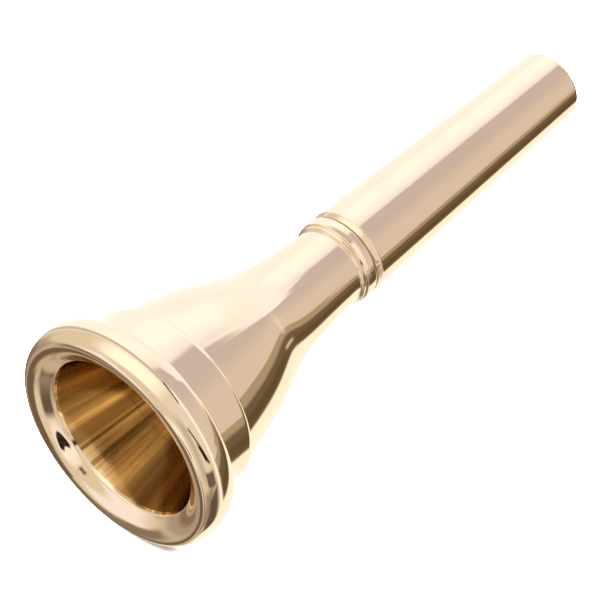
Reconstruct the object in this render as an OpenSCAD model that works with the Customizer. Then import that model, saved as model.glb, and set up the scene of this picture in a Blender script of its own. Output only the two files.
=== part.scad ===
// French horn mouthpiece of three turned brass pieces screwed together on one axis,
// with a small sealing ring in each screwed joint.
// The axis lies along Y. The origin is the centre of the shank's end face, the shank
// points along +Y and the rim is at the -Y end.

/* [Overall] */
// Overall length, from the crest of the rim to the end of the shank
length = 67.3; // [65:0.1:72]
// Outside diameter of the rim
rim_d = 24.7; // [24.2:0.1:25.6]
// Inside diameter at the bite, the rim's inner edge
bite_d = 17.7; // [17.2:0.1:18.2]

/* [Bore] */
// Diameter of the throat, the narrowest part of the bore
throat_d = 4.6; // [4.2:0.1:4.8]
// Length of the straight throat
throat_len = 6; // [4:0.5:8]
// Depth of the funnel from the bite to the throat
funnel_depth = 33; // [32:0.5:34]
// How hollow the funnel's wall is: 1 is a straight cone
funnel_curve = 1.5; // [1.4:0.05:1.7]
// Diameter of the bore at the end of the shank
backbore_d = 6.2; // [5.8:0.1:6.4]

/* [Outside] */
// Diameter of the collar behind the rim
collar_d = 20; // [19.8:0.1:20.4]
// Diameter of the edge where the collar ends and the flare starts
edge_d = 18.8; // [18.4:0.1:19.2]
// Diameter of the neck, the thinnest part of the cup
neck_d = 8.5; // [8.4:0.02:8.7]
// Diameter of the bead in front of the neck's ring
front_bead_d = 9.04; // [9:0.02:9.4]
// Diameter of the ring at its back edge
ring_d = 9.42; // [9.4:0.02:9.8]
// Diameter of the bead on the shank
shank_bead_d = 9.56; // [9.5:0.02:9.9]

/* [Shank] */
// Diameter of the shank at its small end
shank_end_d = 7.6; // [7.5:0.05:7.8]
// Length in which the shank grows 1 mm in diameter
taper_run = 19.2; // [18.5:0.1:20.5]

/* [Threads] */
// Lead of the rim's thread
rim_lead = 0.75; // [0.7:0.05:0.8]
// Lead of the shank's thread
shank_lead = 0.6; // [0.55:0.05:0.65]

/* [Hidden] */
gold = [0.86, 0.7, 0.43];
black = [0.08, 0.08, 0.08];
round_fn = 128;

// Stations along the axis. at(t) turns a depth behind the bite into a height above the
// shank's end face.
crest_rise = 1.2;
bite_z = length - crest_rise;
function at(t) = bite_z - t;
seam_gap = 0.02;         // between the faces that a screwed joint pulls together
rim_back = 3.05;         // depth of the rim's back face
skirt_end = 7.1;         // depth of the end of the rim's threaded skirt
collar_turn = 7.0;       // depth at which the collar starts to round over
collar_end = 7.78;       // depth of the edge between collar and flare
neck_end = 30.05;        // depth of the end of the neck
cup_back = 32.1;         // depth of the cup's back face
bead_front = 32.24;      // depth of the front of the shank's bead
bead_back = 33.04;       // depth of its back
tenon_len = 3.9;         // how far the shank's tenon goes into the cup

// Radii of the rim's screwed joint
rim_core = 8.9;
rim_crest = 9.22;
rim_bore = 9.02;
rim_groove = 9.32;
rim_plain = 8.92;
skirt_nose = 8.75;
// Radii of the shank's screwed joint
tenon_core = 3.15;
tenon_crest = 3.4;
tenon_bore = 3.22;
tenon_groove = 3.48;
tenon_nose = 3.05;
tenon_plain = 3.12;

// The sealing rings: radius of the ring's centre line, radius of its section, and place
rim_seal_r = 8.55;
rim_seal_w = 0.33;
rim_seal_z = at(6.38);
rim_seal_bed = 8.2;
rim_seal_room = 0.36;
shank_seal_r = 3.27;
shank_seal_w = 0.2;
shank_seal_z = at(cup_back) + tenon_len - 0.42;
shank_seal_bed = 3.5;
shank_seal_room = 0.24;

// Height at which each thread's ridge starts
rim_thread_z = at(5.45);
shank_thread_z = at(cup_back) + shank_lead;

tenon_end = at(cup_back) + tenon_len;
throat_z = at(funnel_depth);
shank_bead_r = shank_bead_d / 2;
function shank_r(z) = (shank_end_d + z / taper_run) / 2;
function funnel_r(t) =
    (throat_d + (bite_d - throat_d) * pow(1 - t / funnel_depth, funnel_curve)) / 2;

// Points of a cubic curve from p to s, without its first point
function curve(p, q, r, s, n) = [for (i = [1 : n]) let (u = i / n, v = 1 - u)
    v * v * v * p + 3 * v * v * u * q + 3 * v * u * u * r + u * u * u * s];
// The funnel's wall between two depths, as [radius, height]
function funnel(t0, t1, n) = [for (i = [0 : n]) let (t = t0 + (t1 - t0) * i / n)
    [funnel_r(t), at(t)]];

// Turns an outline of [radius, height] points about the axis, height 0 at the shank's end
module turned(outline) {
    rotate([90, 0, 0]) rotate_extrude($fn = round_fn) polygon(outline);
}

// A right-hand thread ridge along the axis, from one turn count to another. It passes
// height z0 at turn 0, and has one width at its foot radius and one at its crest radius.
// fade is how many turns each end takes to rise.
module ridge(turns, z0, lead, foot, crest, foot_w, crest_w, fade, seg) {
    n = round((turns[1] - turns[0]) * seg);
    low = 0.3;
    points = [for (i = [0 : n])
        let (turn = turns[0] + i / seg, a = 360 * turn, z = z0 + lead * turn,
             rise = fade > 0 ? min(1, low + i / seg / fade, low + (n - i) / seg / fade) : 1,
             r = foot + (crest - foot) * rise)
        each [[foot * cos(a), foot * sin(a), z - foot_w / 2],
              [r * cos(a), r * sin(a), z - crest_w / 2],
              [r * cos(a), r * sin(a), z + crest_w / 2],
              [foot * cos(a), foot * sin(a), z + foot_w / 2]]];
    faces = concat([[3, 2, 1, 0]], [[for (k = [0 : 3]) 4 * n + k]],
        [for (i = [0 : n - 1]) for (k = [0 : 3])
            [4 * i + k, 4 * i + (k + 1) % 4, 4 * i + 4 + (k + 1) % 4, 4 * i + 4 + k]]);
    rotate([90, 0, 0]) polyhedron(points, faces, convexity = 10);
}

rim_r = rim_d / 2;
bite = [bite_d / 2, bite_z];
crest = [rim_r - 1.15, length];
belly = [rim_r, at(0.9)];
lip = [rim_r - 0.8, at(3.0)];
// The rim's rounded bead, from the bite over the crest to the back lip
function bead() = concat([bite],
    curve(bite, [bite[0] + 0.77, at(-0.45)], [crest[0] - 0.9, length], crest, 10),
    curve(crest, [crest[0] + 0.65, length], [rim_r, at(-0.35)], belly, 12),
    curve(belly, [rim_r, at(1.9)], [rim_r - 0.35, at(2.75)], lip, 8));

module rim() {
    color(gold) union() {
        turned(concat(bead(),
            [[lip[0] - 0.25, at(rim_back)], [rim_core, at(rim_back)],
             [rim_core, at(5.7)], [skirt_nose, at(5.82)],
             [skirt_nose, rim_seal_z + rim_seal_room], [rim_seal_bed, rim_seal_z + rim_seal_room],
             [rim_seal_bed, rim_seal_z - rim_seal_room], [skirt_nose, rim_seal_z - rim_seal_room],
             [skirt_nose, at(skirt_end)]],
            funnel(skirt_end, 0.25, 9)));
        ridge([0, 2.5], rim_thread_z, rim_lead, rim_core - 0.2, rim_crest, 0.62, 0.2, 0.25, 36);
    }
}

module rim_seal() {
    color(black) translate([0, -rim_seal_z, 0]) rotate([90, 0, 0])
        rotate_extrude($fn = round_fn) translate([rim_seal_r, 0]) circle(r = rim_seal_w, $fn = 48);
}

shoulder = at(rim_back + seam_gap);
collar_r = collar_d / 2;
edge = [edge_d / 2, at(collar_end)];
neck = [neck_d / 2, at(neck_end)];
front_r = front_bead_d / 2;
ring_r = ring_d / 2;
// The cup's outside, from its shoulder to its back face
function cup_outside() = concat(
    [[collar_r + 0.25, shoulder], [collar_r + 0.1, at(3.3)], [collar_r, at(3.7)],
     [collar_r, at(collar_turn)]],
    curve([collar_r, at(collar_turn)], [collar_r, at(7.4)], [edge[0] + 0.3, at(7.7)], edge, 6),
    curve(edge, [edge[0] - 2.35, at(20.4)], [neck[0] + 0.75, at(16.4)], neck, 28),
    curve(neck, [neck[0], at(30.2)], [front_r - 0.12, at(30.23)], [front_r - 0.1, at(30.28)], 3),
    [[front_r - 0.02, at(30.33)], [front_r, at(30.42)], [front_r, at(30.6)],
     [front_r - 0.05, at(30.71)], [ring_r - 0.06, at(30.82)], [ring_r - 0.02, at(31.3)],
     [ring_r, at(31.75)], [ring_r, at(31.95)], [ring_r - 0.12, at(cup_back)]]);

module cup() {
    floor_t = skirt_end + 0.03;
    nose_top = tenon_end + 0.05;
    color(gold) difference() {
        turned(concat(cup_outside(),
            [[tenon_bore, at(cup_back)],
             [tenon_bore, tenon_end - 0.9], [tenon_plain, tenon_end - 0.9],
             [tenon_plain, shank_seal_z - shank_seal_room],
             [shank_seal_bed, shank_seal_z - shank_seal_room],
             [shank_seal_bed, shank_seal_z + shank_seal_room],
             [tenon_plain, shank_seal_z + shank_seal_room],
             [tenon_plain, nose_top]],
            funnel(bite_z - nose_top, floor_t, 22),
            [[rim_plain, at(floor_t)], [rim_plain, at(5.95)], [rim_bore, at(5.95)],
             [rim_bore, shoulder]]));
        ridge([-0.25, 4], rim_thread_z, rim_lead, rim_core - 0.2, rim_groove, 0.78, 0.32, 0, 36);
        ridge([-2, 3.3], shank_thread_z, shank_lead, tenon_core - 0.1, tenon_groove, 0.62,
            0.26, 0, 30);
    }
}

module shank_seal() {
    color(black) translate([0, -shank_seal_z, 0]) rotate([90, 0, 0])
        rotate_extrude($fn = round_fn) translate([shank_seal_r, 0])
            circle(r = shank_seal_w, $fn = 48);
}

module shank() {
    end_r = shank_end_d / 2;
    bead_low = shank_r(at(bead_back)) + 0.01;
    step_z = at(cup_back + seam_gap);
    color(gold) union() {
        turned(concat(
            [[backbore_d / 2 + 0.08, 0], [end_r - 0.35, 0]],
            curve([end_r - 0.35, 0], [end_r - 0.1, 0], [shank_r(0.2), 0.12], [shank_r(0.5), 0.5], 6),
            [[bead_low, at(bead_back)]],
            curve([bead_low, at(bead_back)], [shank_bead_r - 0.02, at(bead_back)],
                [shank_bead_r, at(bead_back - 0.08)], [shank_bead_r, at(32.86)], 5),
            curve([shank_bead_r, at(32.86)], [shank_bead_r - 0.03, at(32.7)],
                [shank_bead_r - 0.08, at(32.5)], [shank_bead_r - 0.12, at(32.32)], 4),
            [[shank_bead_r - 0.17, at(bead_front + 0.02)], [shank_bead_r - 0.28, at(bead_front)]],
            [[shank_bead_r - 0.3, step_z], [tenon_core, step_z],
             [tenon_core, tenon_end - 0.95], [tenon_nose, tenon_end - 0.9],
             [tenon_nose, tenon_end]],
            funnel(bite_z - tenon_end, funnel_depth, 6),
            [[throat_d / 2, throat_z - throat_len], [backbore_d / 2, 0.12]]));
        ridge([0, 3], shank_thread_z, shank_lead, tenon_core - 0.1, tenon_crest, 0.5, 0.16,
            0.25, 30);
    }
}

rim();
rim_seal();
cup();
shank_seal();
shank();
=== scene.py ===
"""Looks of a French horn mouthpiece: three turned, gold-plated pieces and two sealing rings.

Lengths are in millimetres until a mesh is made. A height is measured along the axis from the
shank's end face, so height h lies at Y = -h. A depth is measured from the bite, the rim's
inner edge, towards the shank.
"""
import math

import bpy
import numpy as np
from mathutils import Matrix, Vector


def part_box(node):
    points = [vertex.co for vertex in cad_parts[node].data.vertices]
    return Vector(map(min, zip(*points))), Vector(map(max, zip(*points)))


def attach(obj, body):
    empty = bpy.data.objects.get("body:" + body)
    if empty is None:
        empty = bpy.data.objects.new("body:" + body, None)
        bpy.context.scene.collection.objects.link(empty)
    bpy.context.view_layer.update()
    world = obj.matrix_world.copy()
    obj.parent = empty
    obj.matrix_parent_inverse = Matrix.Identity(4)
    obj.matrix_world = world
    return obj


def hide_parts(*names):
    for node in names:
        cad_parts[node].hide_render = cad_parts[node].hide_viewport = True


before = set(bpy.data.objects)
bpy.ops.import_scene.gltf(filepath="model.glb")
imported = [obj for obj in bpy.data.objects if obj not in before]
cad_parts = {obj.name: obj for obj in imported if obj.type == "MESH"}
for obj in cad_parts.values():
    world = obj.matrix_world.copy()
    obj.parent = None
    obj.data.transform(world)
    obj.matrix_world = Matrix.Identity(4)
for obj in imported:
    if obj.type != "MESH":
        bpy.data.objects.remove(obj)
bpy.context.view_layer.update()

MM = 0.001
AROUND = 192            # points round the axis
STEP = 0.5              # longest stretch between rings of points
ROUNDING = 0.05         # how far back from a corner its rounding starts
SEAM_ROUNDING = 0.01    # the same where two pieces meet in the funnel
BITE_ROUNDING = 0.13    # the same at the bite
LONGEST_ROUNDING = 0.35     # the most of a stretch's length that a rounding takes
SMOOTH_ENOUGH = 4       # the bend in degrees that isn't rounded
RINGS_PER_TURN = 16     # rings of points in one lead of a thread
# The last finish is dark brown gold: painted shade in the shank's groove.
POLISHED, BORE, MACHINED, SHADED_GROOVE = range(4)     # a turned piece's finishes, in slot order


def low(node):
    """The lowest corner of a CAD node's box, in mm."""
    return [round(c / MM, 2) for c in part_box(node)[0]]


def high(node):
    """The highest corner of a CAD node's box, in mm."""
    return [round(c / MM, 2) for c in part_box(node)[1]]


# ---------------------------------------------------------------- the design's dimensions
LENGTH = -low("rim")[1]
RIM_R = high("rim")[0]
CREST_RISE = 1.2
BITE_H = LENGTH - CREST_RISE
BITE_R = 8.85
SHOULDER = -low("cup")[1]
CUP_BACK = -high("cup")[1]
TENON_END = -low("shank")[1]
SHANK_BEAD_R = high("shank")[0]
SKIRT_END = -high("rim")[1]
COLLAR_R = high("cup")[0] - 0.25

THROAT_R, THROAT_LENGTH, BACKBORE_R = 2.3, 6.0, 3.1
FUNNEL_DEPTH, FUNNEL_CURVE = 33.0, 1.5
SHANK_END_R, TAPER_RUN = 3.8, 19.2
EDGE_R, NECK_R, FRONT_BEAD_R, RING_R = 9.4, 4.25, 4.52, 4.71


def at(depth):
    """The height of a depth behind the bite."""
    return BITE_H - depth


def funnel_r(depth):
    """The funnel's radius at a depth."""
    left = 1 - depth / FUNNEL_DEPTH
    return THROAT_R + (BITE_R - THROAT_R) * left ** FUNNEL_CURVE


def shank_r(height):
    """The shank's radius at a height."""
    return SHANK_END_R + height / TAPER_RUN / 2


# ---------------------------------------------------------------- outlines
def unit(v):
    """Vectors brought to length 1."""
    return v / np.linalg.norm(v, axis=-1, keepdims=True)


def smooth(x):
    """A smooth step from 0 to 1 as x goes from 0 to 1."""
    x = np.clip(x, 0, 1)
    return x * x * (3 - 2 * x)


def line(p, q, finish=POLISHED, thread=None, step=STEP):
    """A straight stretch of an outline, from p to q as [radius, height]."""
    p, q = np.array(p, float), np.array(q, float)
    count = max(1, math.ceil(np.linalg.norm(q - p) / step - 1e-6))
    u = np.linspace(0, 1, count + 1)[:, None]
    return {"points": p + (q - p) * u, "along": np.repeat([unit(q - p)], count + 1, axis=0),
            "finish": finish, "thread": thread}


def curve(p, q, r, s, count):
    """A polished cubic curve from p to s, in a number of steps."""
    p, q, r, s = (np.array(x, float) for x in (p, q, r, s))
    u = np.linspace(0, 1, count + 1)[:, None]
    v = 1 - u
    points = v ** 3 * p + 3 * v * v * u * q + 3 * v * u * u * r + u ** 3 * s
    along = v * v * (q - p) + 2 * v * u * (r - q) + u * u * (s - r)
    return {"points": points, "along": unit(along), "finish": POLISHED, "thread": None}


def chain(points, finish=POLISHED):
    """Straight stretches through several points."""
    return [line(p, q, finish) for p, q in zip(points, points[1:])]


def funnel(start, end, count):
    """The funnel's wall between two depths, in a number of steps."""
    depth = np.linspace(start, end, count + 1)
    points = np.column_stack([funnel_r(depth), at(depth)])
    return {"points": points, "along": unit(np.gradient(points, axis=0)), "finish": BORE,
            "thread": None}


def shortened(stretch, start, end):
    """A stretch with a length taken off each end."""
    points, along = stretch["points"], stretch["along"]
    run = np.r_[0, np.cumsum(np.linalg.norm(np.diff(points, axis=0), axis=1))]
    first, last = start, run[-1] - end
    where = np.r_[first, run[(run > first + 1e-4) & (run < last - 1e-4)], last]

    def sample(values):
        return np.column_stack([np.interp(where, run, column) for column in values.T])
    return {**stretch, "points": sample(points), "along": unit(sample(along))}


def corner_between(before, after):
    """The rounding between two stretches: how far it reaches, or 0 where they run on."""
    cosine = float(before["along"][-1] @ after["along"][0])
    if cosine > math.cos(math.radians(SMOOTH_ENOUGH)):
        return 0.0
    spans = [np.linalg.norm(np.diff(s["points"], axis=0), axis=1).sum() for s in (before, after)]
    at_seam = {before["finish"], after["finish"]} == {BORE, MACHINED}
    reach = SEAM_ROUNDING if at_seam else before.get("rounding", ROUNDING)
    return min(reach, LONGEST_ROUNDING * spans[0], LONGEST_ROUNDING * spans[1])


def rings_of(stretches):
    """The rings of points of a closed outline, each corner rounded: arrays of points,
    directions along the outline, finishes and threads."""
    count = len(stretches)
    reach = [corner_between(stretches[k - 1], stretches[k]) for k in range(count)]
    points, along, finish, thread = [], [], [], []
    for k, stretch in enumerate(stretches):
        following = stretches[(k + 1) % count]
        end = reach[(k + 1) % count]
        part = shortened(stretch, reach[k], end)
        keep = slice(None) if end else slice(0, -1)
        points += list(part["points"][keep])
        along += list(part["along"][keep])
        finish += [stretch["finish"]] * len(part["points"][keep])
        thread += [stretch["thread"]] * len(part["points"][keep])
        if not end:
            continue
        tip = stretch["points"][-1]
        back, ahead = stretch["along"][-1], following["along"][0]
        for u in (0.2, 0.4, 0.6, 0.8):
            points.append(tip - back * end * (1 - u) ** 2 + ahead * end * u * u)
            along.append(unit((1 - u) * back + u * ahead))
            finish.append(stretch["finish"] if u < 0.5 else following["finish"])
            thread.append(stretch["thread"] or following["thread"])
    return np.array(points), np.array(along), finish, thread


# ---------------------------------------------------------------- meshes
def screw(turns, start, lead, base, foot, crest, foot_w, crest_w, fade):
    """How far a right-hand thread stands out from radius base, as a function of the angle in
    turns and the height. The ridge passes height start at turn 0. It has one width at radius
    foot and one at radius crest, and rises and dies over fade turns at its ends."""
    def stands_out(angle, height):
        turn = (height - start) / lead - angle
        nearest = np.round(turn)
        off = np.abs(turn - nearest) * lead
        along = nearest + angle
        shape = smooth((foot_w / 2 - off) / ((foot_w - crest_w) / 2))
        ends = smooth(np.minimum(along - turns[0], turns[1] - along) / fade)
        return np.maximum(foot + (crest - foot) * shape * ends - base, 0)
    return stands_out


def turned(name, stretches, materials):
    """Turns a closed outline about the axis and returns the object."""
    points, along, finish, thread = rings_of(stretches)
    following = np.roll(points, -1, axis=0)
    area = np.sum(points[:, 0] * following[:, 1] - following[:, 0] * points[:, 1]) / 2
    outward = np.column_stack([along[:, 1], -along[:, 0]]) * np.sign(area)
    angle = np.arange(AROUND) / AROUND
    cosine, sine = np.cos(2 * np.pi * angle), np.sin(2 * np.pi * angle)
    radius = np.repeat(points[:, :1], AROUND, axis=1)
    for k, cut in enumerate(thread):
        if cut:
            radius[k] += cut(angle, points[k, 1])
    heights = np.repeat(points[:, 1:], AROUND, axis=1)
    place = np.stack([radius * cosine, -heights, radius * sine], axis=-1) * MM
    normal = np.stack([outward[:, :1] * cosine, -np.repeat(outward[:, 1:], AROUND, axis=1),
                       outward[:, :1] * sine], axis=-1)
    rings = len(points)
    cut_rings = np.array([bool(t) for t in thread])
    around = np.roll(place, -1, axis=1) - np.roll(place, 1, axis=1)
    onward = np.roll(place, -1, axis=0) - np.roll(place, 1, axis=0)
    measured = unit(np.cross(around, onward))
    measured *= np.sign(np.sum(measured * normal, axis=-1, keepdims=True))
    normal[cut_rings] = measured[cut_rings]

    k, j = np.meshgrid(np.arange(rings), np.arange(AROUND), indexing="ij")
    k2, j2 = (k + 1) % rings, (j + 1) % AROUND
    faces = np.stack([k * AROUND + j, k * AROUND + j2, k2 * AROUND + j2, k2 * AROUND + j],
                     axis=-1).reshape(-1, 4)
    first = faces[0]
    spots, facing = place.reshape(-1, 3), normal.reshape(-1, 3)
    side = np.cross(spots[first[1]] - spots[first[0]], spots[first[3]] - spots[first[0]])
    if side @ facing[first[0]] < 0:
        faces = faces[:, ::-1]
    mesh = bpy.data.meshes.new(name)
    mesh.from_pydata(spots.tolist(), [], faces.tolist())
    for material in materials:
        mesh.materials.append(material)
    mesh.polygons.foreach_set("material_index", np.repeat(finish, AROUND).astype(np.int32))
    mesh.polygons.foreach_set("use_smooth", np.ones(len(faces), bool))
    mesh.update()
    mesh.normals_split_custom_set_from_vertices(facing.tolist())
    piece = bpy.data.objects.new(name, mesh)
    bpy.context.scene.collection.objects.link(piece)
    return piece


# ---------------------------------------------------------------- the three turned pieces
RIM_LEAD, SHANK_LEAD = 0.75, 0.6
RIM_THREAD, SHANK_THREAD = at(5.45), CUP_BACK + SHANK_LEAD
RIM_CORE, RIM_BORE, RIM_PLAIN, SKIRT_NOSE = 8.9, 9.02, 8.92, 8.75
TENON_CORE, TENON_BORE, TENON_PLAIN, TENON_NOSE = 3.15, 3.22, 3.12, 3.05
RIM_SEAL_FLOOR, SHANK_SEAL_FLOOR = 8.2, 3.5     # the seals' grooves are cut to these radii
RIM_SEAL_H = -(low("rim_seal")[1] + high("rim_seal")[1]) / 2
SHANK_SEAL_H = -(low("shank_seal")[1] + high("shank_seal")[1]) / 2


def thread_line(p, q, thread, lead):
    """A stretch that a thread is cut in, with rings close enough to show it."""
    return line(p, q, MACHINED, thread, step=lead / RINGS_PER_TURN)


def make_rim(materials):
    """The rounded rim, and its skirt with the thread that screws into the cup."""
    bite, crest = [BITE_R, BITE_H], [RIM_R - 1.15, LENGTH]
    belly, lip = [RIM_R, at(0.9)], [RIM_R - 0.8, at(3.0)]
    ridge = screw([0, 2.5], RIM_THREAD, RIM_LEAD, base=RIM_CORE, foot=RIM_CORE - 0.2,
                  crest=9.22, foot_w=0.62, crest_w=0.2, fade=0.2)
    back, skirt, room = SHOULDER + 0.02, at(5.7), 0.36
    outline = [
        curve(bite, [bite[0] + 0.77, at(-0.45)], [crest[0] - 0.9, LENGTH], crest, 28),
        curve(crest, [crest[0] + 0.65, LENGTH], [RIM_R, at(-0.35)], belly, 32),
        curve(belly, [RIM_R, at(1.9)], [RIM_R - 0.35, at(2.75)], lip, 24),
        line(lip, [lip[0] - 0.25, back]),
        line([lip[0] - 0.25, back], [RIM_CORE, back], MACHINED),
        thread_line([RIM_CORE, back], [RIM_CORE, skirt], ridge, RIM_LEAD)]
    outline += chain([[RIM_CORE, skirt], [SKIRT_NOSE, skirt - 0.12],
                      [SKIRT_NOSE, RIM_SEAL_H + room], [RIM_SEAL_FLOOR, RIM_SEAL_H + room],
                      [RIM_SEAL_FLOOR, RIM_SEAL_H - room], [SKIRT_NOSE, RIM_SEAL_H - room],
                      [SKIRT_NOSE, SKIRT_END], [funnel_r(BITE_H - SKIRT_END), SKIRT_END]],
                     MACHINED)
    lead_in = 0.4
    outline += [funnel(BITE_H - SKIRT_END, lead_in, 20),
                line([funnel_r(lead_in), at(lead_in)], bite)]
    outline[-1]["rounding"] = BITE_ROUNDING
    return turned("gold_rim", outline, materials)


def make_cup(materials):
    """The collar, flare and neck outside, the funnel inside, and a thread at each end."""
    rim_groove = screw([-0.1, 9], RIM_THREAD, RIM_LEAD, base=RIM_BORE, foot=RIM_CORE - 0.2,
                       crest=9.32, foot_w=0.78, crest_w=0.32, fade=0.1)
    shank_groove = screw([-9, 3.3], SHANK_THREAD, SHANK_LEAD, base=TENON_BORE,
                         foot=TENON_CORE - 0.1, crest=3.48, foot_w=0.62, crest_w=0.26, fade=0.1)
    turn, edge, neck = [COLLAR_R, at(7.0)], [EDGE_R, at(7.78)], [NECK_R, at(30.05)]
    front, ring = FRONT_BEAD_R, RING_R
    plain, nose, room = at(5.95), TENON_END + 0.05, 0.24
    floor_depth = BITE_H - SKIRT_END + 0.03
    outline = chain([[RIM_BORE + 0.3, SHOULDER], [COLLAR_R + 0.25, SHOULDER]], MACHINED)
    outline += chain([[COLLAR_R + 0.25, SHOULDER], [COLLAR_R + 0.1, at(3.3)],
                      [COLLAR_R, at(3.7)], turn])
    outline += [
        curve(turn, [COLLAR_R, at(7.4)], [edge[0] + 0.3, at(7.7)], edge, 12),
        curve(edge, [edge[0] - 2.35, at(20.4)], [neck[0] + 0.75, at(16.4)], neck, 90),
        curve(neck, [neck[0], at(30.2)], [front - 0.12, at(30.23)], [front - 0.1, at(30.28)], 8),
        curve([front - 0.1, at(30.28)], [front - 0.05, at(30.31)], [front, at(30.34)],
              [front, at(30.42)], 8)]
    outline += chain([[front, at(30.42)], [front, at(30.6)], [front - 0.05, at(30.71)]])
    outline += [
        line([front - 0.05, at(30.71)], [ring - 0.06, at(30.82)]),
        curve([ring - 0.06, at(30.82)], [ring - 0.03, at(31.2)], [ring, at(31.5)],
              [ring, at(31.9)], 12),
        curve([ring, at(31.9)], [ring, at(32.0)], [ring - 0.04, at(32.08)],
              [ring - 0.12, CUP_BACK], 8)]
    outline += chain([[ring - 0.12, CUP_BACK], [TENON_BORE + 0.3, CUP_BACK],
                      [TENON_BORE, CUP_BACK]], MACHINED)
    outline += [thread_line([TENON_BORE, CUP_BACK], [TENON_BORE, TENON_END - 0.9],
                            shank_groove, SHANK_LEAD)]
    outline += chain([[TENON_BORE, TENON_END - 0.9], [TENON_PLAIN, TENON_END - 0.9],
                      [TENON_PLAIN, SHANK_SEAL_H - room],
                      [SHANK_SEAL_FLOOR, SHANK_SEAL_H - room],
                      [SHANK_SEAL_FLOOR, SHANK_SEAL_H + room],
                      [TENON_PLAIN, SHANK_SEAL_H + room], [TENON_PLAIN, nose],
                      [funnel_r(BITE_H - nose), nose]], MACHINED)
    outline += [funnel(BITE_H - nose, floor_depth, 50)]
    outline += chain([[funnel_r(floor_depth), at(floor_depth)], [RIM_PLAIN, at(floor_depth)],
                      [RIM_PLAIN, plain], [RIM_BORE, plain]], MACHINED)
    outline += [thread_line([RIM_BORE, plain], [RIM_BORE, SHOULDER], rim_groove, RIM_LEAD),
                line([RIM_BORE, SHOULDER], [RIM_BORE + 0.3, SHOULDER], MACHINED)]
    return turned("gold_cup", outline, materials)


def make_shank(materials):
    """The tapered shank with its bead, and its tenon with the thread that the cup is on."""
    bead_back, bead_front, r = at(33.04), at(32.24), SHANK_BEAD_R
    root, step_h = shank_r(bead_back) + 0.01, CUP_BACK - 0.02
    ridge = screw([0, 3], SHANK_THREAD, SHANK_LEAD, base=TENON_CORE, foot=TENON_CORE - 0.1,
                  crest=3.4, foot_w=0.5, crest_w=0.16, fade=0.2)
    chamfer, face = BACKBORE_R + 0.08, SHANK_END_R - 0.35
    crest, slope, throat = [r, at(32.86)], [r - 0.12, at(32.32)], at(FUNNEL_DEPTH)
    outline = [
        line([chamfer, 0], [face, 0]),
        curve([face, 0], [SHANK_END_R - 0.1, 0], [shank_r(0.2), 0.12], [shank_r(0.5), 0.5], 14),
        line([shank_r(0.5), 0.5], [root, bead_back]),
        curve([root, bead_back], [r - 0.02, bead_back], [r, at(32.96)], crest, 12),
        curve(crest, [r - 0.03, at(32.7)], [r - 0.08, at(32.5)], slope, 10),
        curve(slope, [r - 0.14, at(32.27)], [r - 0.2, bead_front], [r - 0.28, bead_front], 8),
        # The groove's face below the bead, darkened with painted shade.
        line([r - 0.28, bead_front], [r - 0.3, step_h], SHADED_GROOVE),
        line([r - 0.3, step_h], [TENON_CORE, step_h], MACHINED),
        thread_line([TENON_CORE, step_h], [TENON_CORE, TENON_END - 0.95], ridge, SHANK_LEAD)]
    outline += chain([[TENON_CORE, TENON_END - 0.95], [TENON_NOSE, TENON_END - 0.9],
                      [TENON_NOSE, TENON_END], [funnel_r(BITE_H - TENON_END), TENON_END]],
                     MACHINED)
    outline += [funnel(BITE_H - TENON_END, FUNNEL_DEPTH, 14)]
    outline += chain([[THROAT_R, throat], [THROAT_R, throat - THROAT_LENGTH],
                      [BACKBORE_R, 0.12], [chamfer, 0]], BORE)
    return turned("gold_shank", outline, materials)


def make_seal(node, material):
    """A moulded rubber ring, with the fine flash line of its mould inside and outside."""
    centre_h = -(low(node)[1] + high(node)[1]) / 2
    section = (high(node)[1] - low(node)[1]) / 2
    middle = high(node)[0] - section
    count, flash_height, flash_width = 48, 0.012, 0.09
    turn = np.arange(count + 1) / count * 2 * np.pi
    flash = flash_height * np.exp(-(np.sin(turn) / flash_width) ** 2)
    points = np.column_stack([middle + (section + flash) * np.cos(turn),
                              centre_h + section * np.sin(turn)])
    along = np.column_stack([-np.sin(turn), np.cos(turn)])
    stretch = {"points": points, "along": along, "finish": 0, "thread": None}
    return turned("rubber_" + node, [stretch], [material])


# ---------------------------------------------------------------- shader helpers
def add(tree, kind, inputs=None, **settings):
    """Adds a shader node, with its settings, and its inputs as values or links."""
    node = tree.nodes.new(kind)
    for name, value in settings.items():
        setattr(node, name, value)
    for key, value in (inputs or {}).items():
        if isinstance(value, bpy.types.NodeSocket):
            tree.links.new(value, node.inputs[key])
        else:
            node.inputs[key].default_value = value
    return node


def maths(tree, operation, *values):
    """The result of a Math node."""
    return add(tree, "ShaderNodeMath", dict(enumerate(values)), operation=operation).outputs[0]


def mixed(tree, factor, a, b):
    """The colour between two colours."""
    node = add(tree, "ShaderNodeMix", {0: factor, 6: a, 7: b}, data_type="RGBA")
    return node.outputs[2]


def ramp(tree, value, start, end, low_value=0.0, high_value=1.0):
    """A smooth change from low_value to high_value as value goes from start to end."""
    node = add(tree, "ShaderNodeMapRange", {0: value, 1: start, 2: end, 3: low_value,
                                            4: high_value}, interpolation_type="SMOOTHSTEP")
    return node.outputs[0]


def noise(tree, vector, scale, detail=2.0):
    """Soft noise from 0 to 1."""
    node = add(tree, "ShaderNodeTexNoise", {"Vector": vector, "Scale": scale, "Detail": detail})
    return node.outputs["Fac"]


def new_material(name):
    """A material without nodes, and its node tree."""
    material = bpy.data.materials.new(name)
    material.use_nodes = True
    material.node_tree.nodes.clear()
    return material, material.node_tree


def in_mm(tree):
    """The object's own coordinates in mm."""
    place = add(tree, "ShaderNodeTexCoord").outputs["Object"]
    return add(tree, "ShaderNodeVectorMath", {0: place, "Scale": 1 / MM},
               operation="SCALE").outputs[0]


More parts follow.
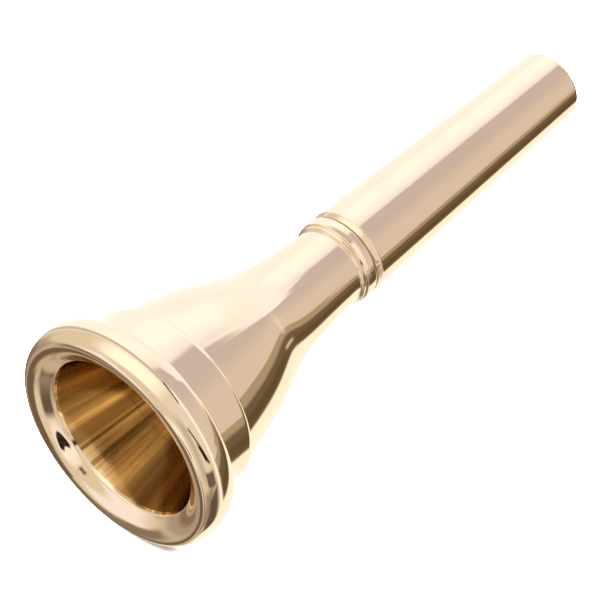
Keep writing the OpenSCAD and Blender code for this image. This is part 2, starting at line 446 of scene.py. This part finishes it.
def round_the_axis(tree, place, around, along):
    """Coordinates that follow a turned surface, stretched apart round and along the axis."""
    x, y, z = add(tree, "ShaderNodeSeparateXYZ", {0: place}).outputs
    radius = maths(tree, "SQRT", maths(tree, "ADD", maths(tree, "MULTIPLY", x, x),
                                       maths(tree, "MULTIPLY", z, z)))
    inputs = {0: maths(tree, "MULTIPLY", maths(tree, "DIVIDE", x, radius), around),
              1: maths(tree, "MULTIPLY", y, along),
              2: maths(tree, "MULTIPLY", maths(tree, "DIVIDE", z, radius), around)}
    inputs[1] = maths(tree, "ADD", inputs[1], maths(tree, "MULTIPLY", radius, along))
    return add(tree, "ShaderNodeCombineXYZ", inputs).outputs[0]


# ---------------------------------------------------------------- materials
# The scales of the gold's noises, per mm.
CLOUD_SCALE, SMUDGE_SCALE, WAVE_SCALE = 0.18, 0.55, 0.3
HAIRS_AROUND, HAIRS_ALONG = 3.0, 16.0       # the fine turning lines run round the axis
STREAKS_AROUND, STREAKS_ALONG = 22.0, 0.2   # the funnel's streaks run along it
RUBBER_GRAIN_SCALE, RUBBER_DUST_SCALE = 9.0, 1.3


def gold(name, pale, deep, roughness, spread, lines, waves, anisotropic=0.0, painted_reflection_colour=None):
    """Gold plate on turned brass. pale and deep are the ends of its colour, roughness and
    spread its lowest roughness and how far smudges raise it. lines is the depth of the fine
    turning lines and waves that of the polish's unevenness, both in mm. stain is the colour
    of painted dark reflections, streaks that run along the axis."""
    material, tree = new_material(name)
    place = in_mm(tree)
    cloud = noise(tree, place, CLOUD_SCALE, 3.0)
    colour = mixed(tree, ramp(tree, cloud, 0.35, 0.65), pale, deep)
    # Painted reflections: dark streaks along the axis, mixed into the colour.
    if painted_reflection_colour:
        colour = mixed(tree, streaks(tree, place), colour, painted_reflection_colour)
    smudge = noise(tree, place, SMUDGE_SCALE, 6.0)
    hair = noise(tree, round_the_axis(tree, place, HAIRS_AROUND, HAIRS_ALONG), 1.0, 4.0)
    dull = maths(tree, "MULTIPLY", ramp(tree, smudge, 0.45, 0.75), hair)
    rough = maths(tree, "MULTIPLY_ADD", dull, spread, roughness)
    height = maths(tree, "MULTIPLY", noise(tree, place, WAVE_SCALE, 2.0), waves * MM)
    height = maths(tree, "MULTIPLY_ADD", hair, lines * MM, height)
    bump = add(tree, "ShaderNodeBump", {"Height": height, "Distance": 1.0, "Strength": 1.0})
    inputs = {"Base Color": colour, "Metallic": 1.0, "Roughness": rough,
              "Anisotropic": anisotropic, "Normal": bump.outputs[0]}
    if anisotropic:
        inputs["Tangent"] = add(tree, "ShaderNodeTangent", direction_type="RADIAL",
                                axis="Y").outputs[0]
    shader = add(tree, "ShaderNodeBsdfPrincipled", inputs)
    add(tree, "ShaderNodeOutputMaterial", {0: shader.outputs[0]})
    return material


# The funnel's broader painted reflections, dark streaks along the axis: the angle round the
# axis, the half-width, both in degrees, and the strength of each. A painted streak is full up
# to one share of its half-width and gone at another.
FULL_WITHIN, GONE_AT = 0.5, 1.3
FINE_STRENGTH = 0.55        # of the finer streaks between them
PAINTED_REFLECTIONS = ((226, 1.6, 1.0), (238, 2.0, 0.8), (218, 7, 0.9), (203, 5, 0.7), (268, 6, 0.7),
          (300, 28, 1.0), (166, 30, 0.85))


def streaks(tree, place):
    """How dark the painted streaks along the funnel are at a place: broad painted reflections at
    the listed angles, and finer streaks between them that are partly polishing marks and partly
    painted reflection.
    """
    x, _, z = add(tree, "ShaderNodeSeparateXYZ", {0: place}).outputs
    angle = maths(tree, "DEGREES", maths(tree, "ARCTAN2", z, x))
    stretched = round_the_axis(tree, place, STREAKS_AROUND, STREAKS_ALONG)
    fine = ramp(tree, noise(tree, stretched, 1.0, 4.0), 0.42, 0.68)
    dark = maths(tree, "MULTIPLY", fine, FINE_STRENGTH)
    for middle, half_width, strength in PAINTED_REFLECTIONS:
        off = maths(tree, "ABSOLUTE", maths(tree, "WRAP", maths(tree, "SUBTRACT", angle, middle),
                                            180.0, -180.0))
        mark = ramp(tree, off, half_width * GONE_AT, half_width * FULL_WITHIN, 0.0, strength)
        dark = maths(tree, "MAXIMUM", dark, mark)
    return dark


def rubber(name):
    """Black nitrile rubber, slightly dusty and uneven."""
    material, tree = new_material(name)
    place = in_mm(tree)
    grain = noise(tree, place, RUBBER_GRAIN_SCALE, 4.0)
    dust = ramp(tree, noise(tree, place, RUBBER_DUST_SCALE, 5.0), 0.4, 0.8)
    colour = mixed(tree, dust, (0.012, 0.012, 0.013, 1), (0.035, 0.034, 0.032, 1))
    rough = maths(tree, "MULTIPLY_ADD", grain, 0.25, 0.45)
    height = maths(tree, "MULTIPLY", grain, 0.01 * MM)
    bump = add(tree, "ShaderNodeBump", {"Height": height, "Distance": 1.0})
    shader = add(tree, "ShaderNodeBsdfPrincipled", {
        "Base Color": colour, "Roughness": rough, "Normal": bump.outputs[0]})
    add(tree, "ShaderNodeOutputMaterial", {0: shader.outputs[0]})
    return material


def floor_material(colour):
    """Matt white paper. Seen from below it isn't there."""
    material, tree = new_material("paper")
    matt = add(tree, "ShaderNodeBsdfDiffuse", {"Color": colour})
    clear = add(tree, "ShaderNodeBsdfTransparent")
    under = add(tree, "ShaderNodeNewGeometry").outputs["Backfacing"]
    shader = add(tree, "ShaderNodeMixShader", {0: under, 1: matt.outputs[0],
                                               2: clear.outputs[0]})
    add(tree, "ShaderNodeOutputMaterial", {0: shader.outputs[0]})
    return material


# ---------------------------------------------------------------- studio
SEAM = -122.0       # where the angle round the axis starts, in degrees, behind what is seen
BEHIND_PANELS = (0.76, 0.73, 0.62, 1)
PAPER = (0.9, 0.9, 0.9, 1)
WHITE = (1.0, 1.0, 1.0, 1)


def panel(around, tilt, softness, colour, lean=0.0, rise=0.0, bow=(0.0, 0.0)):
    """A soft-edged panel of the studio, in degrees: the angles round the axis that it spans
    (0 is +X, 90 is up), the angles towards +Y that it spans, and the softness of those two
    pairs of edges. lean moves the first pair per degree of tilt. rise tilts the second pair,
    and bow bends it down by the square and the fourth power of the angle off the middle."""
    return {"around": around, "tilt": tilt, "softness": softness, "colour": (*colour, 1),
            "lean": lean, "rise": rise, "bow": bow}


ROUND = (SEAM, SEAM + 360)

# Each panel lies over those before it.
PANELS = [
    # the player's side: warm, with a bright light above
    panel(ROUND, (-95, 24), (1, 5), (0.78, 0.73, 0.58)),
    panel((66, 132), (-34, 18), (18, 10), (1.25, 1.28, 1.15)),
    panel((-10, 62), (-26, 22), (8, 8), (0.85, 0.80, 0.72)),
    panel((-30, 40), (-34, -12), (10, 8), (0.58, 0.54, 0.46)),
    panel((-45, 30), (-83, -52), (12, 5), (1.10, 1.05, 1.02)),
    panel((140, 205), (-84, -44), (12, 8), (1.02, 0.99, 1.02)),
    # below: the ground, bright near the rim and dark in its shadow, as far as the crescent
    # that shows beside the bite
    panel((-99, -74), (-52, 44), (5, 7), (1.25, 1.20, 1.10), lean=0.5),
    panel((-135, -90), (-68, -4), (5, 8), (0.17, 0.13, 0.085), lean=-0.25),
    panel((193, 245), (-60, -33), (7, 6), (0.27, 0.22, 0.15)),
    panel((234, 245), (-50, -12), (2.5, 6), (0.20, 0.155, 0.10)),
    panel((-106, -80), (-30, -7), (5, 6), (0.60, 0.51, 0.36), lean=-0.25),
    panel((-76, -66), (-54, -21), (4, 4), (0.14, 0.105, 0.07), lean=-1.04),
    panel((-128, -72), (4, 44), (5, 5), (1.22, 1.17, 1.08), lean=0.6),
    # dark things beside the camera
    panel((-79, -34), (-34, 4), (6, 12), (0.34, 0.29, 0.24), lean=0.6),
    panel((-78, -37), (-12, 15), (4, 5), (0.13, 0.10, 0.085), lean=0.6),
    panel((-30, -15), (-15, 13), (2, 3), (0.17, 0.13, 0.13)),
    panel((192, 245), (-30, 12), (9, 8), (0.44, 0.37, 0.31)),
    panel((207, 228), (-14, 26), (5, 5), (0.26, 0.20, 0.14)),
    # the shank's side: light all round, with a wide beige screen that turns olive and brown
    panel(ROUND, (19, 95), (1, 2), (1.16, 1.15, 1.15)),
    panel((-128, -58), (19, 95), (4, 2), (1.20, 1.12, 0.98)),
    panel((108, 150), (24, 95), (12, 4), (1.30, 1.26, 1.28)),
    panel((80, 96), (24, 95), (7, 2), (1.02, 1.01, 1.04)),
    panel((66, 245), (20, 25.8), (6, 1.2), (0.62, 0.60, 0.54)),
    panel((-14, 87), (25.5, 48), (4, 3), (0.63, 0.585, 0.59)),
    panel((-40, 76), (45, 79), (3, 0.7), (0.63, 0.585, 0.59), lean=-0.45),
    panel((-60, 40), (25.5, 79), (20, 0.7), (0.75, 0.685, 0.63)),
    panel((-62, -10), (25.5, 46), (1.2, 4), (0.45, 0.37, 0.25)),
    panel((-62, -4), (42, 79), (1.2, 5), (0.45, 0.37, 0.25)),
    panel((-11.6, -9.6), (25.5, 43), (0.7, 2.0), (0.80, 0.72, 0.59)),
    panel((-5.4, -3.6), (44, 76), (0.7, 2.0), (0.80, 0.72, 0.59)),
    panel((-57, -22), (26, 70), (3.5, 3), (0.17, 0.13, 0.075)),
    panel((-52, -36), (26, 60), (5, 4), (0.13, 0.09, 0.045)),
    panel((-150, -58), (24, 95), (3, 4), (1.20, 1.12, 0.98)),
    # beyond the screen: light past its bowed far edge, a gap in its brown part, and more
    # light past its upper end
    panel((-15, 130), (75.66, 140), (4, 0.05), (1.02, 0.95, 0.88), bow=(0.001097, 2.94e-8)),
    panel((-43, -36), (62.0, 140), (1.5, 0.4), (0.62, 0.55, 0.44), rise=0.2),
    panel((68, 175), (60, 140), (2, 8), (1.14, 1.12, 1.12)),
    # slivers of black
    panel((-8, 29), (-0.3, 4.3), (2, 1.2), (0.02, 0.012, 0.006), rise=-0.43),
    panel((-5, 12), (-2.5, 4.5), (3, 1.5), (0.02, 0.012, 0.006), rise=-0.43),
    panel((50, 72), (18, 21.5), (2, 0.8), (0.06, 0.045, 0.03), rise=0.227),
    panel((-37.0, -20), (-75, -60), (1.0, 1.5), (0.02, 0.015, 0.01), lean=-0.25),
    panel((40, 76), (-82.2, -80.9), (6, 0.5), (0.03, 0.02, 0.015)),
]


def studio():
    """The light round the object. The camera itself sees plain white behind the floor."""
    world = bpy.data.worlds.new("studio")
    bpy.context.scene.world = world
    world.use_nodes = True
    tree = world.node_tree
    tree.nodes.clear()
    direction = add(tree, "ShaderNodeTexCoord").outputs["Generated"]
    x, y, z = add(tree, "ShaderNodeSeparateXYZ", {0: direction}).outputs
    around = maths(tree, "DEGREES", maths(tree, "ARCTAN2", z, x))
    around = maths(tree, "WRAP", around, SEAM + 360, SEAM)
    tilt = maths(tree, "DEGREES", maths(tree, "ARCSINE", y))
    light = BEHIND_PANELS
    for card in PANELS:
        light = mixed(tree, coverage(tree, card, around, tilt), light, card["colour"])
    seen = add(tree, "ShaderNodeLightPath").outputs["Is Camera Ray"]
    shown = mixed(tree, seen, light, WHITE)
    background = add(tree, "ShaderNodeBackground", {"Color": shown, "Strength": 1.0})
    add(tree, "ShaderNodeOutputWorld", {0: background.outputs[0]})


def coverage(tree, card, around, tilt):
    """How far a panel covers a direction."""
    (a0, a1), (b0, b1), (soft_a, soft_b) = card["around"], card["tilt"], card["softness"]
    off_a = maths(tree, "SUBTRACT", around, (a0 + a1) / 2)
    off_b = maths(tree, "SUBTRACT", tilt, (b0 + b1) / 2)
    if card["rise"]:
        tilt = maths(tree, "MULTIPLY_ADD", off_a, -card["rise"], tilt)
    if any(card["bow"]):
        squared = maths(tree, "MULTIPLY", off_a, off_a)
        bend = maths(tree, "MULTIPLY_ADD", squared, card["bow"][1], card["bow"][0])
        tilt = maths(tree, "MULTIPLY_ADD", squared, bend, tilt)
    if card["lean"]:
        around = maths(tree, "MULTIPLY_ADD", off_b, -card["lean"], around)
    mask = maths(tree, "MULTIPLY", ramp(tree, tilt, b0 - soft_b, b0 + soft_b),
                 ramp(tree, tilt, b1 - soft_b, b1 + soft_b, 1.0, 0.0))
    if a0 > SEAM:
        mask = maths(tree, "MULTIPLY", mask, ramp(tree, around, a0 - soft_a, a0 + soft_a))
    if a1 < SEAM + 360:
        mask = maths(tree, "MULTIPLY", mask,
                     ramp(tree, around, a1 - soft_a, a1 + soft_a, 1.0, 0.0))
    return mask


def make_floor():
    """White paper that the rim and the shank's end lie on."""
    lean = math.atan2(RIM_R - SHANK_END_R, at(0.9))
    mesh = bpy.data.meshes.new("floor")
    half = 1.5
    corners = [(x * half, y * half, 0) for x, y in ((-1, -1), (1, -1), (1, 1), (-1, 1))]
    mesh.from_pydata(corners, [], [(0, 1, 2, 3)])
    mesh.materials.append(floor_material(PAPER))
    floor = bpy.data.objects.new("floor", mesh)
    clearance = 0.1
    floor.location = (0, 0, -(SHANK_END_R + clearance) * MM)
    floor.rotation_euler = (lean, 0, 0)
    floor.visible_glossy = False
    bpy.context.scene.collection.objects.link(floor)


def make_lamp():
    """A wide soft lamp overhead, which lights the paper and isn't seen in reflections."""
    place, target = Vector((-0.1, 0.1, 0.9)), Vector((0, -0.03, 0))
    light = bpy.data.lights.new("overhead", "AREA")
    light.shape, light.size, light.energy = "DISK", 1.8, 260
    lamp = bpy.data.objects.new("overhead", light)
    lamp.location = place
    lamp.rotation_euler = (target - place).to_track_quat("-Z", "Y").to_euler()
    lamp.visible_glossy = False
    bpy.context.scene.collection.objects.link(lamp)


def make_camera():
    """The camera looks down past the rim and along the mouthpiece."""
    azimuth, elevation = math.radians(40.84), math.radians(45.9)
    distance = 0.3127
    target = Vector((0.82, -0.6123 * LENGTH, 0)) * MM
    back = Vector((math.sin(azimuth) * math.cos(elevation),
                   -math.cos(azimuth) * math.cos(elevation), math.sin(elevation)))
    data = bpy.data.cameras.new("camera")
    data.lens, data.sensor_width = 190.7, 36.0
    data.clip_start, data.clip_end = 0.01, 20.0
    camera = bpy.data.objects.new("camera", data)
    camera.location = target + back * distance
    camera.rotation_euler = (-back).to_track_quat("-Z", "Y").to_euler()
    bpy.context.scene.collection.objects.link(camera)
    bpy.context.scene.camera = camera


make_camera()
studio()
make_floor()
make_lamp()
bpy.context.scene.view_settings.view_transform = "Standard"

plate = gold("gold_plate", (0.95, 0.775, 0.60, 1), (0.94, 0.755, 0.575, 1),
             roughness=0.035, spread=0.10, lines=0.00012, waves=0.006)
# The funnel's gold is deeper and browner than the outside's plate: partly the plating's own
# tone, partly painted shade of the hollow. Its dark streaks along the axis are painted
# reflections.
bore_tone_and_painted_shade = gold("gold_bore_painted_shade", (0.93, 0.68, 0.38, 1), (0.90, 0.63, 0.33, 1),
            roughness=0.12, spread=0.08, lines=0.0002, waves=0.004,
            anisotropic=0.8, painted_reflection_colour=(0.32, 0.20, 0.09, 1))
machined = gold("gold_machined", (0.93, 0.74, 0.52, 1), (0.90, 0.70, 0.46, 1),
                roughness=0.16, spread=0.14, lines=0.002, waves=0.002)
# Dark brown, rougher gold for the shank's groove: painted shade in the groove.
groove_painted_shade = gold("gold_groove_painted_shade", (0.34, 0.26, 0.17, 1), (0.27, 0.20, 0.12, 1),
              roughness=0.35, spread=0.10, lines=0.0005, waves=0.002)
black_rubber = rubber("seal_rubber")

finishes = [plate, bore_tone_and_painted_shade, machined, groove_painted_shade]
for node, make in (("rim", make_rim), ("cup", make_cup), ("shank", make_shank)):
    piece = make(finishes)
    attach(piece, node)
    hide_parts(node)
for node in ("rim_seal", "shank_seal"):
    seal = make_seal(node, black_rubber)
    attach(seal, node)
    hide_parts(node)
